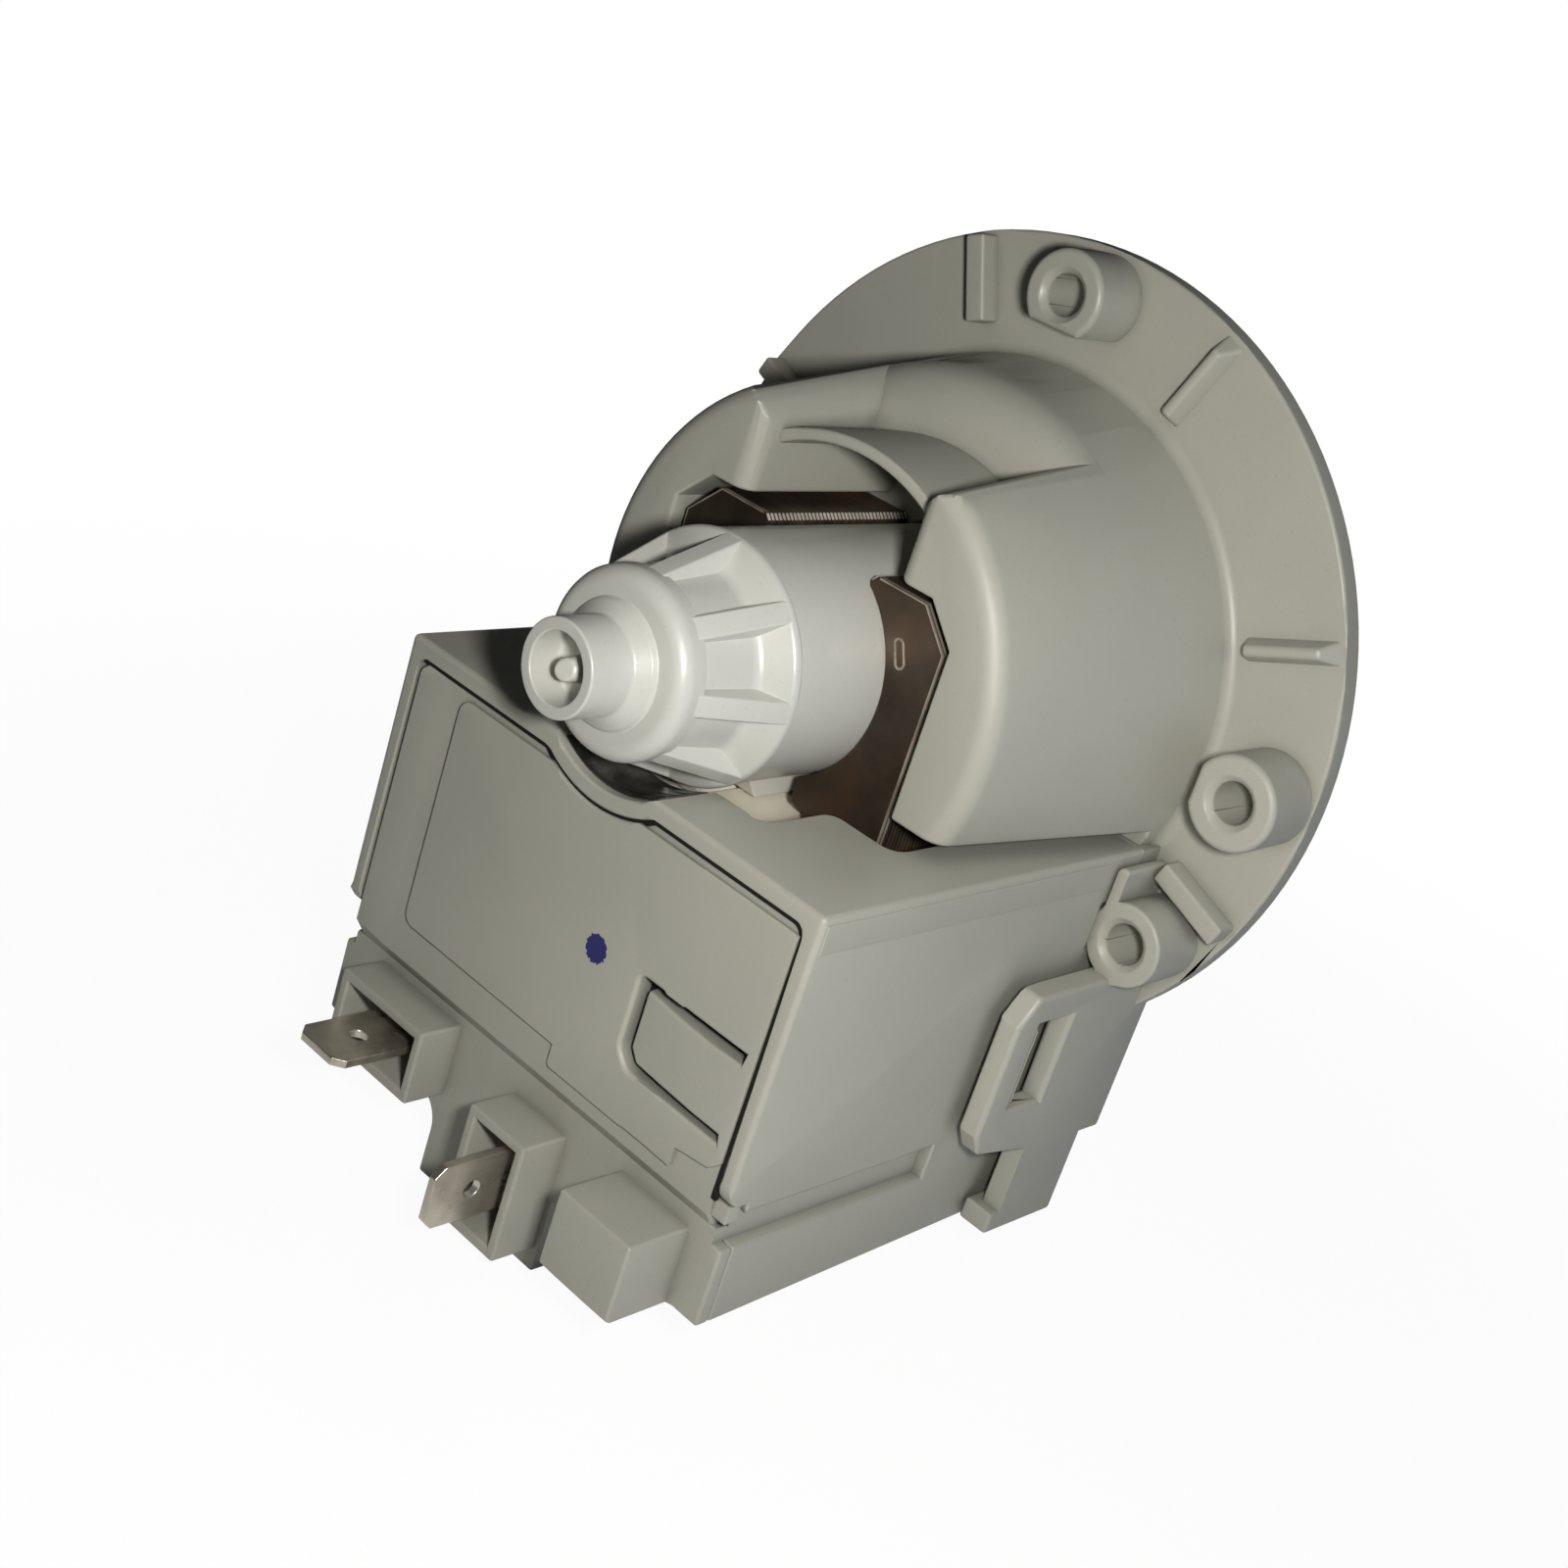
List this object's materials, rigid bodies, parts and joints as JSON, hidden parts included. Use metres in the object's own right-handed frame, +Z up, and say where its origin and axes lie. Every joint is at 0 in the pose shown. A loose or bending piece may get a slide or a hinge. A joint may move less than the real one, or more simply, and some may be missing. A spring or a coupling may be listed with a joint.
{
  "type": "washing machine drain pump",
  "caption": "Washing-machine drain pump: ribbed rotor can in a shrouded flange with screw bosses, laminated core, clipped-on coil box with blade terminals, vaned impeller.",
  "frame": {"origin": "centre of the screw circle on the flange's mating face, on the rotor axis", "axes": "+Y along the rotor axis out of the mating face towards the impeller, +Z up away from the coil box, +X towards the side of the screw boss that stands level with the axis"},
  "size_m": [0.0756, 0.0741, 0.0936],
  "materials": {
    "housing": "satin moulded",
    "can": "glossy moulded",
    "core": "oxidised laminated sheet",
    "bobbin": "cream moulded",
    "winding": "enamelled copper wire",
    "terminal": "tinned",
    "magnet": "ground ferrite",
    "carrier": "natural moulded",
    "shaft": "ground",
    "bearing": "sintered carbon",
    "rubber": "matt",
    "holder": "satin moulded",
    "impeller": "satin moulded",
    "bush": "turned"
  },
  "bodies": {
    "pump": {"front_housing": "housing", "rotor_can": "can", "pole_leg_left": "core", "pole_leg_right": "core", "yoke_bar": "core", "bobbin_left": "bobbin", "bobbin_right": "bobbin", "winding_left": "winding", "winding_right": "winding", "coil_hood": "housing", "terminal_cover": "housing", "terminal_left": "terminal", "terminal_right": "terminal", "rear_bearing": "bearing", "rear_cushion": "rubber", "front_bearing": "bearing", "front_cushion": "rubber", "bearing_holder": "holder", "flange_seal": "rubber"},
    "impeller": {"impeller": "impeller", "impeller_bush": "bush", "shaft": "shaft", "shaft_driver": "carrier", "thrust_washer": "bearing"},
    "rotor": {"rotor_magnet": "magnet", "magnet_carrier": "carrier"}
  },
  "joints": [
    {"name": "impeller_spin", "type": "hinge", "parent": "pump", "child": "impeller", "pos_m": [0, 0, 0], "axis": [0, 1, 0], "continuous": true},
    {"name": "magnet_lag", "type": "hinge", "parent": "impeller", "child": "rotor", "pos_m": [0, -0.022, 0], "axis": [0, 1, 0], "range_deg": [0, 284]}
  ]
}
